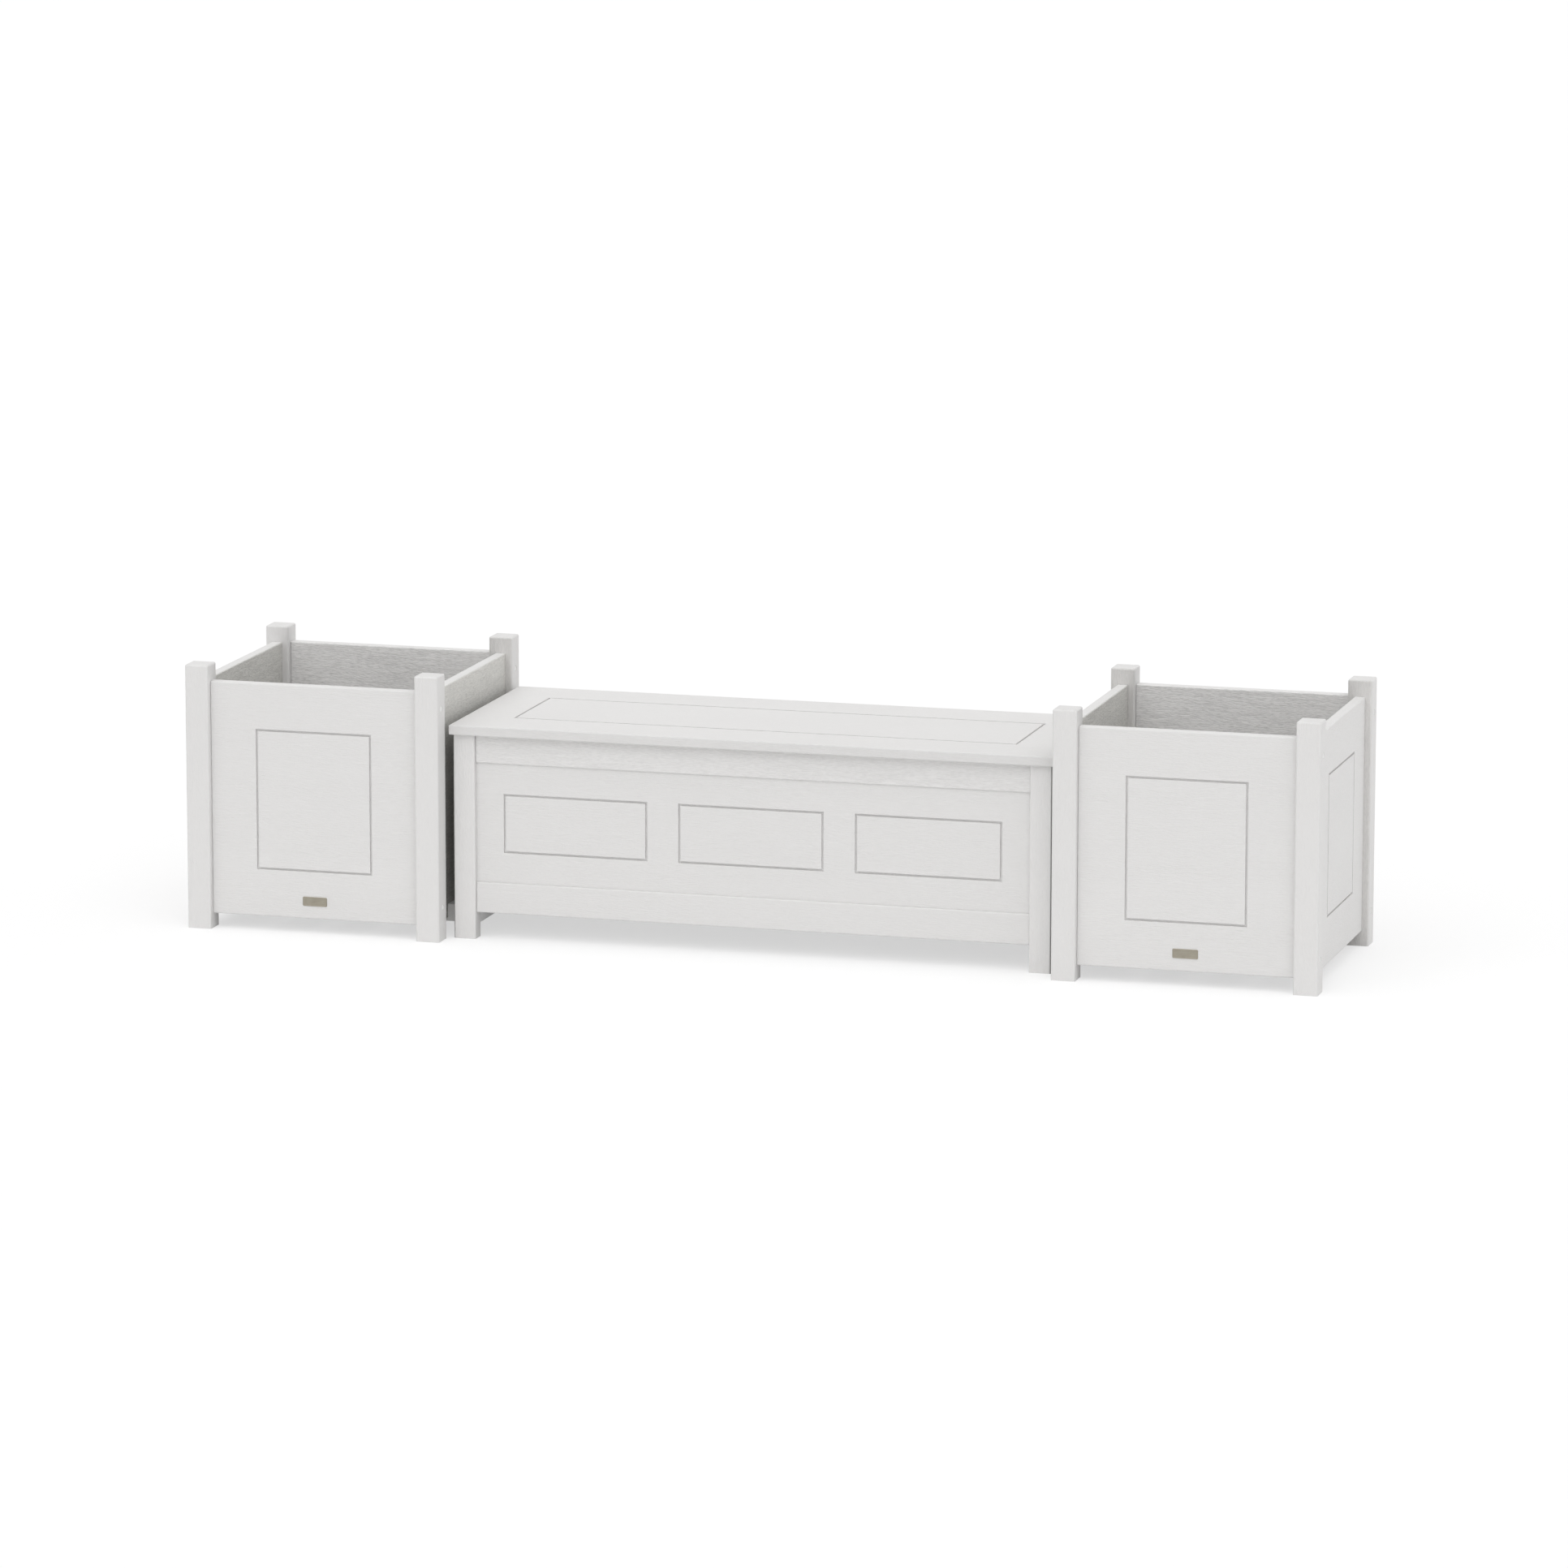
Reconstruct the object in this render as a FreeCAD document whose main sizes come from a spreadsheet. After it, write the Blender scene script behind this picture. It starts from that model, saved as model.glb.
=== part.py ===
import FreeCAD, Part
import os
import re
import Sketcher

# A storage bench between two square planters, all of white plastic timber with routed lines.
# Millimetres. X runs along the row, -Y is the front, Z is up.
# The origin is on the ground, in the middle of the row and of the planters' depth.

SIZES = {
    # Planters
    "planter_width": 542,
    "planter_depth": 542,
    "planter_height": 548,
    "post_size": 50,
    "post_rounding": 4,
    "panel_thickness": 22,
    "panel_clearance": 31,
    "panel_drop": 34,
    "panel_rounding": 3,
    "end_easing": 1,
    "joint_gap": 0.25,
    # Routed lines
    "line_width": 4.5,
    "line_depth": 4,
    "panel_line_end_inset": 99,
    "panel_line_top_inset": 96.5,
    "panel_line_bottom_inset": 99.5,
    # Hidden tenons of the planters' side panels
    "tenon_thickness": 12,
    "tenon_shoulder": 60,
    "tenon_screw_gap": 2.5,
    "fit_clearance": 0.25,
    # Floors, their cleats and the ties below them
    "floor_height": 59.5,
    "slat_thickness": 22,
    "slat_gap": 12,
    "planter_slat_count": 4,
    "bench_slat_count": 10,
    "cleat_thickness": 18,
    "cleat_height": 25,
    "loose_gap": 2,
    "tie_thickness": 35,
    "tie_width": 140,
    "tie_spread": 209,
    "tie_reach": 50,
    "tie_corner": 3,
    "tie_projection": 5.5,
    "notch_clearance": 1,
    # Bench
    "bench_length": 1252,
    "bench_depth": 441,
    "bench_setback": 57,
    "bench_gap": 13.75,
    "seat_height": 443,
    "leg_width": 45.5,
    "leg_depth": 35,
    "rail_thickness": 22,
    "rail_height": 58.5,
    "bottom_rail_height": 63.5,
    "rail_rounding": 3,
    "rail_tenon_height": 36,
    "infill_thickness": 14,
    "infill_housing": 8,
    "infill_line_end_inset": 60.5,
    "infill_line_gap": 69.7,
    "infill_line_inset": 64.2,
    # Lid
    "lid_thickness": 20,
    "lid_rounding": 2.5,
    "lid_end_overhang": 5.5,
    "lid_overhang": 13,
    "lid_seat_gap": 0.3,
    "lid_line_end_inset": 105,
    "lid_line_inset": 116,
    "batten_width": 60,
    "batten_inset": 130,
    "batten_end_gap": 12,
    "batten_screw_inset": 36,
    # Hinges
    "hinge_inset": 80,
    "hinge_length": 80,
    "leaf_width": 32,
    "leaf_thickness": 2,
    "knuckle_radius": 5,
    "knuckle_gap": 0.3,
    "hinge_gap": 0.5,
    "mortise_clearance": 0.4,
    "pin_diameter": 5,
    "pin_clearance": 0.05,
    "pin_head_diameter": 8,
    "pin_head_height": 1.5,
    # Screws
    "screw_diameter": 6,
    "screw_head_diameter": 12,
    "screw_head_height": 3.5,
    "screw_recess": 0.8,
    "screw_bite": 39,
    "tie_screw_length": 52,
    "tie_screw_spread": 80,
    "small_screw_diameter": 4,
    "small_screw_head_diameter": 8,
    "small_screw_head_height": 2.5,
    "small_screw_length": 30,
    "cleat_screw_inset": 65,
    "leaf_screw_length": 16,
    "leaf_screw_spacing": 52,
    "screw_clearance": 0.05,
    "panel_screw_rise": 38.5,
    "panel_screw_drop": 35,
}

# Sizes that follow from the driving ones
DERIVED = {
    "planter_x": "(bench_length / 2 + bench_gap + planter_width / 2)",
    "post_x": "(planter_width / 2 - post_size / 2)",
    "post_y": "(planter_depth / 2 - post_size / 2)",
    "panel_height": "(planter_height - panel_drop - panel_clearance)",
    "front_panel_length": "(planter_width - 2 * post_size - 2 * joint_gap)",
    "side_panel_length": "(planter_depth - 2 * post_size - 2 * joint_gap)",
    "low_screw_height": "(panel_clearance + panel_screw_rise)",
    "high_screw_height": "(planter_height - panel_drop - panel_screw_drop)",
    "planter_floor_length": "(planter_width - 2 * post_size - 2 * loose_gap)",
    "planter_floor_depth": "(planter_depth - post_size - panel_thickness - 2 * loose_gap)",
    "planter_slat_width":
        "((planter_floor_length - (planter_slat_count - 1) * slat_gap) / planter_slat_count)",
    "planter_cleat_y": "(planter_depth / 2 - post_size / 2 - panel_thickness / 2 - cleat_thickness / 2)",
    "panel_cleat_screw_x": "(planter_floor_length / 2 - cleat_screw_inset)",
    "post_tenon_length": "(post_size / 2 - screw_diameter / 2 - tenon_screw_gap)",
    "bench_y": "(bench_setback + bench_depth / 2 - planter_depth / 2)",
    "leg_height": "(seat_height - lid_thickness - lid_seat_gap)",
    "leg_x": "(bench_length / 2 - leg_width / 2)",
    "leg_y": "(bench_depth / 2 - leg_depth / 2)",
    "long_rail_length": "(bench_length - 2 * leg_width - 2 * joint_gap)",
    "side_rail_length": "(bench_depth - 2 * leg_depth - 2 * joint_gap)",
    "top_rail_bottom": "(leg_height - rail_height)",
    "bottom_rail_top": "(floor_height + rail_height)",
    "long_rail_bottom": "(bottom_rail_top - bottom_rail_height)",
    "low_rail_screw_height": "(long_rail_bottom + bottom_rail_height / 2)",
    "high_rail_screw_height": "(leg_height - rail_height / 2)",
    "infill_height": "(top_rail_bottom - bottom_rail_top)",
    "infill_line_width":
        "((long_rail_length - 2 * infill_line_end_inset - 2 * infill_line_gap) / 3)",
    "housing_depth": "(infill_housing + fit_clearance)",
    "housing_width": "(infill_thickness + 2 * fit_clearance)",
    "bench_cleat_y": "(leg_y - rail_thickness / 2 - cleat_thickness / 2)",
    "bench_floor_length": "(bench_length - 2 * leg_width - 2 * loose_gap)",
    "bench_floor_depth": "(2 * leg_y - rail_thickness - 2 * loose_gap)",
    "bench_slat_width": "((bench_floor_length - (bench_slat_count - 1) * slat_gap) / bench_slat_count)",
    "bench_cleat_screw_x": "(bench_floor_length / 2 - cleat_screw_inset)",
    "rail_tenon_length": "(leg_depth / 2 - screw_diameter / 2 - tenon_screw_gap)",
    "tie_outer_end": "(leg_x - rail_thickness / 2 - tie_projection)",
    "tie_inner_end": "(bench_length / 2 + bench_gap + post_size / 2 + panel_thickness / 2 + tie_reach)",
    "tie_slat_screw_x": "(tie_inner_end - tie_reach / 2)",
    "lid_length": "(bench_length + 2 * lid_end_overhang)",
    "lid_depth": "(bench_depth + 2 * lid_overhang)",
    "lid_underside": "(seat_height - lid_thickness)",
    "batten_length": "(bench_floor_depth - 2 * batten_end_gap)",
    "batten_screw_y": "(batten_length / 2 - batten_screw_inset)",
    "batten_spacing": "(long_rail_length / 2 - batten_inset - batten_width / 2)",
    "hinge_spacing": "(long_rail_length / 2 - hinge_inset - hinge_length / 2)",
    "pivot_y": "(leg_y + rail_thickness / 2 + hinge_gap + knuckle_radius)",
    "pivot_z": "(lid_underside + leaf_thickness - knuckle_radius)",
    "knuckle_length": "(hinge_length / 5)",
    "knuckle_recess": "(knuckle_radius + mortise_clearance)",
    "leaf_screw_offset": "(leaf_width / 2 + knuckle_radius / 2)",
    "screw_bore": "(screw_diameter + 2 * screw_clearance)",
    "screw_head_bore": "(screw_head_diameter + 4 * screw_clearance)",
    "screw_head_depth": "(screw_head_height + screw_recess)",
    "small_bore": "(small_screw_diameter + 2 * screw_clearance)",
    "small_head_bore": "(small_screw_head_diameter + 4 * screw_clearance)",
}

FRONT, BACK = -1, 1
LEFT, RIGHT = -1, 1
UP = FreeCAD.Vector(0, 0, 1)
SIDE_NAMES = {LEFT: "left", RIGHT: "right"}
ROW_NAMES = {FRONT: "front", BACK: "back"}

doc = FreeCAD.newDocument("bench_with_planters")
sheet = doc.addObject("Spreadsheet::Sheet", "Sizes")
for row, (name, value) in enumerate(SIZES.items(), start=1):
    sheet.set(f"A{row}", str(value))
    sheet.setAlias(f"A{row}", name)
doc.recompute()

parts = {}


def formula(text):
    """The text with derived sizes written out and driving sizes read from the sheet."""
    while True:
        words = set(re.findall(r"[a-z_]+", text)) & set(DERIVED)
        if not words:
            break
        for word in words:
            text = re.sub(rf"\b{word}\b", DERIVED[word], text)
    return re.sub(r"\b([a-z]+_[a-z_]+)\b", r"Sizes.\1", text)


def bind(item, prop, text):
    item.setExpression(prop, formula(text))


def new_body(label, x="0", y="0", z="0", turn=0):
    """An empty body at a place, turned about the upright axis."""
    body = doc.addObject("PartDesign::Body", label)
    body.Label = label
    body.Placement = FreeCAD.Placement(FreeCAD.Vector(), FreeCAD.Rotation(UP, turn))
    for axis, value in zip("xyz", (x, y, z)):
        bind(body, f"Placement.Base.{axis}", value)
    return body


def new_sketch(body, name, role, offset="0"):
    sketch = body.newObject("Sketcher::SketchObject", name)
    plane = next(item for item in body.Origin.OriginFeatures if item.Role == role)
    sketch.AttachmentSupport = [(plane, "")]
    sketch.MapMode = "FlatFace"
    bind(sketch, "AttachmentOffset.Base.z", offset)
    return sketch


def add_polygon(sketch, corners):
    """A closed outline whose corners are bound to their distances from the sketch's origin."""
    first = sketch.GeometryCount
    count = len(corners)
    for index in range(count):
        start = FreeCAD.Vector(index * 10, (index % 2) * 10, 0)
        end = FreeCAD.Vector(((index + 1) % count) * 10, ((index + 1) % 2) * 10, 0)
        sketch.addGeometry(Part.LineSegment(start, end), False)
    for index in range(count):
        following = first + (index + 1) % count
        sketch.addConstraint(Sketcher.Constraint("Coincident", first + index, 2, following, 1))
    for index, (x, y) in enumerate(corners):
        for kind, value in (("DistanceX", x), ("DistanceY", y)):
            number = sketch.addConstraint(Sketcher.Constraint(kind, -1, 1, first + index, 1, 1.0))
            bind(sketch, f"Constraints[{number}]", value)


def add_rectangle(sketch, left, low, right, high):
    add_polygon(sketch, [(left, low), (right, low), (right, high), (left, high)])


def add_centred(sketch, x, low, width, high):
    """A rectangle centred across x, from low to high."""
    add_rectangle(sketch, f"{x} - ({width}) / 2", low, f"{x} + ({width}) / 2", high)


def add_circle(sketch, x, y, diameter):
    index = sketch.addGeometry(Part.Circle(FreeCAD.Vector(1, 1, 0), UP, 2), False)
    for kind, value in (("DistanceX", x), ("DistanceY", y)):
        number = sketch.addConstraint(Sketcher.Constraint(kind, -1, 1, index, 3, 1.0))
        bind(sketch, f"Constraints[{number}]", value)
    number = sketch.addConstraint(Sketcher.Constraint("Diameter", index, 2.0))
    bind(sketch, f"Constraints[{number}]", diameter)


def pad(body, sketch, name, length, symmetric=False):
    feature = body.newObject("PartDesign::Pad", name)
    feature.Profile = sketch
    feature.SideType = "Symmetric" if symmetric else "One side"
    bind(feature, "Length", length)
    doc.recompute()
    return feature


def pocket(body, sketch, name, length, symmetric=False, reverse=False, taper=None):
    """A cut that must take something away."""
    before = body.Shape.Volume
    feature = body.newObject("PartDesign::Pocket", name)
    feature.Profile = sketch
    feature.SideType = "Symmetric" if symmetric else "One side"
    feature.Reversed = reverse
    bind(feature, "Length", length)
    if taper:
        bind(feature, "TaperAngle", taper)
    doc.recompute()
    if body.Shape.Volume > before - 1:
        raise ValueError(f"{body.Label}: {name} cuts nothing")
    return feature


def round_edges(body, name, radius, keep):
    """Rounds the edges of the body so far that pass a test."""
    base = body.Group[-1]
    feature = body.newObject("PartDesign::Fillet", name)
    feature.Base = (base, chosen_edges(base, keep))
    bind(feature, "Radius", radius)
    doc.recompute()


def chosen_edges(feature, keep):
    return [f"Edge{number}" for number, edge in enumerate(feature.Shape.Edges, start=1) if keep(edge)]


def runs_along(axis):
    return lambda edge: abs(getattr(edge.tangentAt(edge.FirstParameter), axis)) > 0.999


def every_edge(edge):
    return True


def ease_ends(body, name, setback):
    """A small chamfer round both ends of a board that runs along X."""
    base = body.Group[-1]
    box = base.Shape.BoundBox
    feature = body.newObject("PartDesign::Chamfer", name)
    feature.Base = (base, chosen_edges(base, lambda edge: edge.BoundBox.XLength < 0.01 and
                                       abs(abs(edge.BoundBox.Center.x - box.Center.x) - box.XLength / 2) < 0.01))
    bind(feature, "Size", setback)
    doc.recompute()


def round_board(body, radius):
    """The long edges rounded and the ends eased, as plastic timber is cut and finished."""
    round_edges(body, "rounded_edges", radius, runs_along("x"))
    ease_ends(body, "eased_ends", "end_easing")


def repeat_whole(body, name, direction, span, count):
    """The whole body so far, repeated evenly over a span."""
    axis = next(item for item in body.Origin.OriginFeatures if item.Role == direction)
    feature = body.newObject("PartDesign::LinearPattern", name)
    feature.TransformMode = "Whole shape"
    feature.Direction = (axis, [""])
    bind(feature, "Length", span)
    bind(feature, "Occurrences", count)
    body.Tip = feature
    doc.recompute()


def mirror_whole(body, name, role):
    plane = next(item for item in body.Origin.OriginFeatures if item.Role == role)
    feature = body.newObject("PartDesign::Mirrored", name)
    feature.TransformMode = "Whole shape"
    feature.MirrorPlane = (plane, [""])
    body.Tip = feature
    doc.recompute()


def add_line_frame(sketch, x, low, width, high):
    """The two outlines of one routed rectangle, measured to the middle of its line."""
    add_rectangle(sketch, f"{x} - ({width}) / 2 - line_width / 2", f"{low} - line_width / 2",
                  f"{x} + ({width}) / 2 + line_width / 2", f"{high} + line_width / 2")
    add_rectangle(sketch, f"{x} - ({width}) / 2 + line_width / 2", f"{low} + line_width / 2",
                  f"{x} + ({width}) / 2 - line_width / 2", f"{high} - line_width / 2")


def screw_bores(body, name, side, depth, heights):
    """Bores along X with counterbored heads, from the face on one side."""
    face = f"{side} * ({depth}) / 2"
    bores = new_sketch(body, f"{name}_bores", "YZ_Plane", face)
    heads = new_sketch(body, f"{name}_head_bores", "YZ_Plane", face)
    for height in heights:
        add_circle(bores, "0", height, "screw_bore")
        add_circle(heads, "0", height, "screw_head_bore")
    pocket(body, bores, f"{name}_bore_cut", depth, reverse=side < 0)
    pocket(body, heads, f"{name}_head_cut", "screw_head_depth", reverse=side < 0)


def end_pilots(body, length, heights):
    """Pilot holes for the long screws, in both ends of a board."""
    for end in (LEFT, RIGHT):
        pilots = new_sketch(body, f"{SIDE_NAMES[end]}_pilots", "YZ_Plane", f"{end} * ({length}) / 2")
        for height in heights:
            add_circle(pilots, "0", height, "screw_bore")
        pocket(body, pilots, f"{SIDE_NAMES[end]}_pilot_cut", "screw_bite", reverse=end < 0)


def planter_post(planter, side, row):
    """A square post, bored for the long screws and mortised for a side panel."""
    turn = 0 if row == FRONT else 180
    body = new_body(f"{SIDE_NAMES[planter]}_planter_{ROW_NAMES[row]}_{SIDE_NAMES[side]}_post",
                    f"{planter} * planter_x + {side} * post_x", f"{row} * post_y", "0", turn)
    section = new_sketch(body, "section", "XY_Plane")
    add_centred(section, "0", "-post_size / 2", "post_size", "post_size / 2")
    pad(body, section, "length", "planter_height")
    top = body.Group[-1].Shape.BoundBox.ZMax
    upright = runs_along("z")
    round_edges(body, "rounded_edges", "post_rounding",
                lambda edge: upright(edge) or edge.BoundBox.ZMin > top - 0.01)
    bore_side = side if row == FRONT else -side
    screw_bores(body, "panel_screw", bore_side, "post_size", ["low_screw_height", "high_screw_height"])
    mortise = new_sketch(body, "mortise", "XZ_Plane", "-post_size / 2")
    add_centred(mortise, "0", "panel_clearance + tenon_shoulder - fit_clearance",
                "tenon_thickness + 2 * fit_clearance",
                "panel_clearance + panel_height - tenon_shoulder + fit_clearance")
    pocket(body, mortise, "mortise_cut", "post_tenon_length + fit_clearance - joint_gap", reverse=True)
    parts[body.Label] = body


def planter_panel(planter, name, turn, inner=False):
    """One wall of a planter, with its outer face and routed line towards its own -Y."""
    on_side = name in ("left", "right")
    length = "side_panel_length" if on_side else "front_panel_length"
    x = f"{planter} * planter_x"
    y = "0"
    if on_side:
        x += " + post_x" if name == "right" else " - post_x"
    else:
        y = "-post_y" if name == "front" else "post_y"
    body = new_body(f"{SIDE_NAMES[planter]}_planter_{name}_panel", x, y, "panel_clearance", turn)
    face = new_sketch(body, "face", "XZ_Plane")
    add_centred(face, "0", "0", length, "panel_height")
    pad(body, face, "board", "panel_thickness", symmetric=True)
    round_board(body, "panel_rounding")
    line = new_sketch(body, "routed_line", "XZ_Plane", "panel_thickness / 2")
    add_line_frame(line, "0", "panel_line_bottom_inset", f"{length} - 2 * panel_line_end_inset",
                   "panel_height - panel_line_top_inset")
    pocket(body, line, "routed_line_cut", "line_depth")
    if on_side:
        tenons = new_sketch(body, "tenons", "XZ_Plane")
        add_centred(tenons, "0", "tenon_shoulder", f"{length} + 2 * post_tenon_length",
                    "panel_height - tenon_shoulder")
        pad(body, tenons, "tenons_full", "tenon_thickness", symmetric=True)
    else:
        end_pilots(body, length, ["panel_screw_rise", "panel_height - panel_screw_drop"])
        cleat_pilots(body, "panel_thickness", "floor_height - cleat_height / 2 - panel_clearance",
                     ["-panel_cleat_screw_x", "panel_cleat_screw_x"])
    if inner:
        across = 1 if turn > 0 else -1
        notches = new_sketch(body, "tie_notches", "XZ_Plane")
        for row in (FRONT, BACK):
            add_centred(notches, f"{across} * (bench_y + {row} * tie_spread / 2)", "-panel_clearance / 2",
                        "tie_width + 2 * notch_clearance", "floor_height - panel_clearance + notch_clearance")
        pocket(body, notches, "tie_notch_cut", "2 * panel_thickness", symmetric=True)
    parts[body.Label] = body


def cleat_pilots(body, thickness, height, places):
    """Pilot holes for the small screws, in the inner face of a wall or rail."""
    pilots = new_sketch(body, "cleat_pilots", "XZ_Plane", f"-({thickness}) / 2")
    for place in places:
        add_circle(pilots, place, height, "small_bore")
    pocket(body, pilots, "cleat_pilot_cut", "small_screw_length - cleat_thickness", reverse=True)


def floor_cleats(label, x, y, z, length, distance, screw_places):
    """A pair of battens that carry a floor, drilled for their screws."""
    body = new_body(label, x, y, z)
    section = new_sketch(body, "section", "XZ_Plane", f"{distance} - cleat_thickness / 2")
    add_centred(section, "0", "-cleat_height", length, "0")
    pad(body, section, "front_cleat", "cleat_thickness")
    for name, diameter, depth in (("bores", "small_bore", "cleat_thickness"),
                                  ("head_bores", "small_head_bore", "small_screw_head_height")):
        holes = new_sketch(body, name, "XZ_Plane", f"{distance} - cleat_thickness / 2")
        for place in screw_places:
            add_circle(holes, place, "-cleat_height / 2", diameter)
        pocket(body, holes, f"{name}_cut", depth, reverse=True)
    mirror_whole(body, "back_cleat", "XZ_Plane")
    parts[label] = body


def floor_slats(label, x, y, z, length, depth, width, count, turn=0, tie_screws=None):
    """Loose slats with drainage gaps. A planter's innermost slat is bored for the tie screws."""
    body = new_body(label, x, y, z, turn)
    outline = new_sketch(body, "outline", "XY_Plane")
    add_rectangle(outline, f"-({length}) / 2", f"-({depth}) / 2",
                  f"-({length}) / 2 + {width}", f"({depth}) / 2")
    pad(body, outline, "slat", "slat_thickness")
    repeat_whole(body, "slats", "X_Axis", f"{length} - {width}", count)
    if tie_screws:
        across = 1 if turn == 0 else -1
        pilots = new_sketch(body, "tie_pilots", "XY_Plane")
        for place in tie_screw_places():
            add_circle(pilots, tie_screws, f"{across} * (bench_y + {place})", "screw_bore")
        pocket(body, pilots, "tie_pilot_cut", "tie_screw_length - tie_thickness", reverse=True)
    parts[label] = body


def tie_screw_places():
    """The places of the tie screws along Y, from the middle of the bench."""
    return [
        f"({row} * tie_spread / 2 + {end} * tie_screw_spread / 2)"
        for row in (FRONT, BACK) for end in (-1, 1)
    ]


def tie_board(side, row):
    """A low plank that links a planter's floor to the bench's side rail."""
    body = new_body(f"{SIDE_NAMES[side]}_{ROW_NAMES[row]}_tie_board", "0",
                    f"bench_y + {row} * tie_spread / 2", "floor_height - tie_thickness")
    outline = new_sketch(body, "outline", "XY_Plane")
    ends = ("tie_outer_end", "tie_inner_end") if side == RIGHT else ("-tie_inner_end", "-tie_outer_end")
    add_rectangle(outline, ends[0], "-tie_width / 2", ends[1], "tie_width / 2")
    pad(body, outline, "plank", "tie_thickness")
    round_edges(body, "rounded_corners", "tie_corner", runs_along("z"))
    for name, diameter, depth in (("bores", "screw_bore", "tie_thickness"),
                                  ("head_bores", "screw_head_bore", "screw_head_depth")):
        holes = new_sketch(body, name, "XY_Plane")
        for place in ("leg_x", "tie_slat_screw_x"):
            for end in (-1, 1):
                add_circle(holes, f"{side} * {place}", f"{end} * tie_screw_spread / 2", diameter)
        pocket(body, holes, f"{name}_cut", depth, reverse=True)
    parts[body.Label] = body


def bench_leg(side, row):
    """A leg with bores for the long rails, mortises for the side rails and two housings."""
    turn = 0 if row == FRONT else 180
    body = new_body(f"bench_{ROW_NAMES[row]}_{SIDE_NAMES[side]}_leg", f"{side} * leg_x",
                    f"bench_y + {row} * leg_y", "0", turn)
    section = new_sketch(body, "section", "XY_Plane")
    add_centred(section, "0", "-leg_depth / 2", "leg_width", "leg_depth / 2")
    pad(body, section, "length", "leg_height")
    round_edges(body, "rounded_edges", "rail_rounding", runs_along("z"))
    outer = side if row == FRONT else -side
    screw_bores(body, "rail_screw", outer, "leg_width", ["low_rail_screw_height", "high_rail_screw_height"])
    mortises = new_sketch(body, "rail_mortises", "XZ_Plane", "-leg_depth / 2")
    for height in ("floor_height + rail_height / 2", "leg_height - rail_height / 2"):
        add_centred(mortises, "0", f"{height} - rail_tenon_height / 2 - fit_clearance",
                    "tenon_thickness + 2 * fit_clearance", f"{height} + rail_tenon_height / 2 + fit_clearance")
    pocket(body, mortises, "rail_mortise_cut", "rail_tenon_length + fit_clearance - joint_gap", reverse=True)
    low = "bottom_rail_top - housing_depth"
    high = "top_rail_bottom + housing_depth"
    side_housing = new_sketch(body, "side_housing", "XZ_Plane", "-leg_depth / 2")
    add_centred(side_housing, "0", low, "housing_width", high)
    pocket(body, side_housing, "side_housing_cut", "housing_depth", reverse=True)
    front_housing = new_sketch(body, "long_housing", "YZ_Plane", f"{-outer} * leg_width / 2")
    add_centred(front_housing, "0", low, "housing_width", high)
    pocket(body, front_housing, "long_housing_cut", "housing_depth", reverse=outer > 0)
    parts[body.Label] = body


def rail_board(label, x, y, length, level, turn, height="rail_height"):
    """A rail with the groove that houses an infill panel in its inward edge."""
    z = f"bottom_rail_top - {height}" if level == "bottom" else "top_rail_bottom"
    body = new_body(label, x, y, z, turn)
    face = new_sketch(body, "face", "XZ_Plane")
    add_centred(face, "0", "0", length, height)
    pad(body, face, "board", "rail_thickness", symmetric=True)
    round_board(body, "rail_rounding")
    groove = new_sketch(body, "infill_groove", "YZ_Plane")
    if level == "bottom":
        add_centred(groove, "0", f"{height} - housing_depth", "housing_width", f"{height} + housing_depth")
    else:
        add_centred(groove, "0", "-housing_depth", "housing_width", "housing_depth")
    pocket(body, groove, "infill_groove_cut", length, symmetric=True)
    parts[label] = body
    return body


def long_rail(row, level):
    """A front or back rail, screwed through the legs into its ends."""
    turn = 0 if row == FRONT else 180
    height = "bottom_rail_height" if level == "bottom" else "rail_height"
    body = rail_board(f"bench_{ROW_NAMES[row]}_{level}_rail", "0", f"bench_y + {row} * leg_y",
                      "long_rail_length", level, turn, height)
    end_pilots(body, "long_rail_length", [f"{height} / 2"])
    if level == "bottom":
        cleat_pilots(body, "rail_thickness", "floor_height + cleat_height / 2 - long_rail_bottom",
                     ["-bench_cleat_screw_x", "0", "bench_cleat_screw_x"])
    elif row == BACK:
        pilots = new_sketch(body, "hinge_pilots", "XZ_Plane", "rail_thickness / 2")
        for x in leaf_screw_places():
            add_circle(pilots, x, "pivot_z - leaf_screw_offset - top_rail_bottom", "small_bore")
        pocket(body, pilots, "hinge_pilot_cut", "leaf_screw_length - leaf_thickness")


def side_rail(side, level):
    """A side rail, tenoned into the legs. The bottom one is bored for the tie screws."""
    body = rail_board(f"bench_{SIDE_NAMES[side]}_{level}_rail", f"{side} * leg_x", "bench_y",
                      "side_rail_length", level, 90 * side)
    tenons = new_sketch(body, "tenons", "XZ_Plane")
    add_centred(tenons, "0", "rail_height / 2 - rail_tenon_height / 2",
                "side_rail_length + 2 * rail_tenon_length", "rail_height / 2 + rail_tenon_height / 2")
    pad(body, tenons, "tenons_full", "tenon_thickness", symmetric=True)
    if level == "bottom":
        pilots = new_sketch(body, "tie_pilots", "XY_Plane")
        for place in tie_screw_places():
            add_circle(pilots, f"{side} * {place}", "0", "screw_bore")
        pocket(body, pilots, "tie_pilot_cut", "tie_screw_length - tie_thickness", reverse=True)


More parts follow.
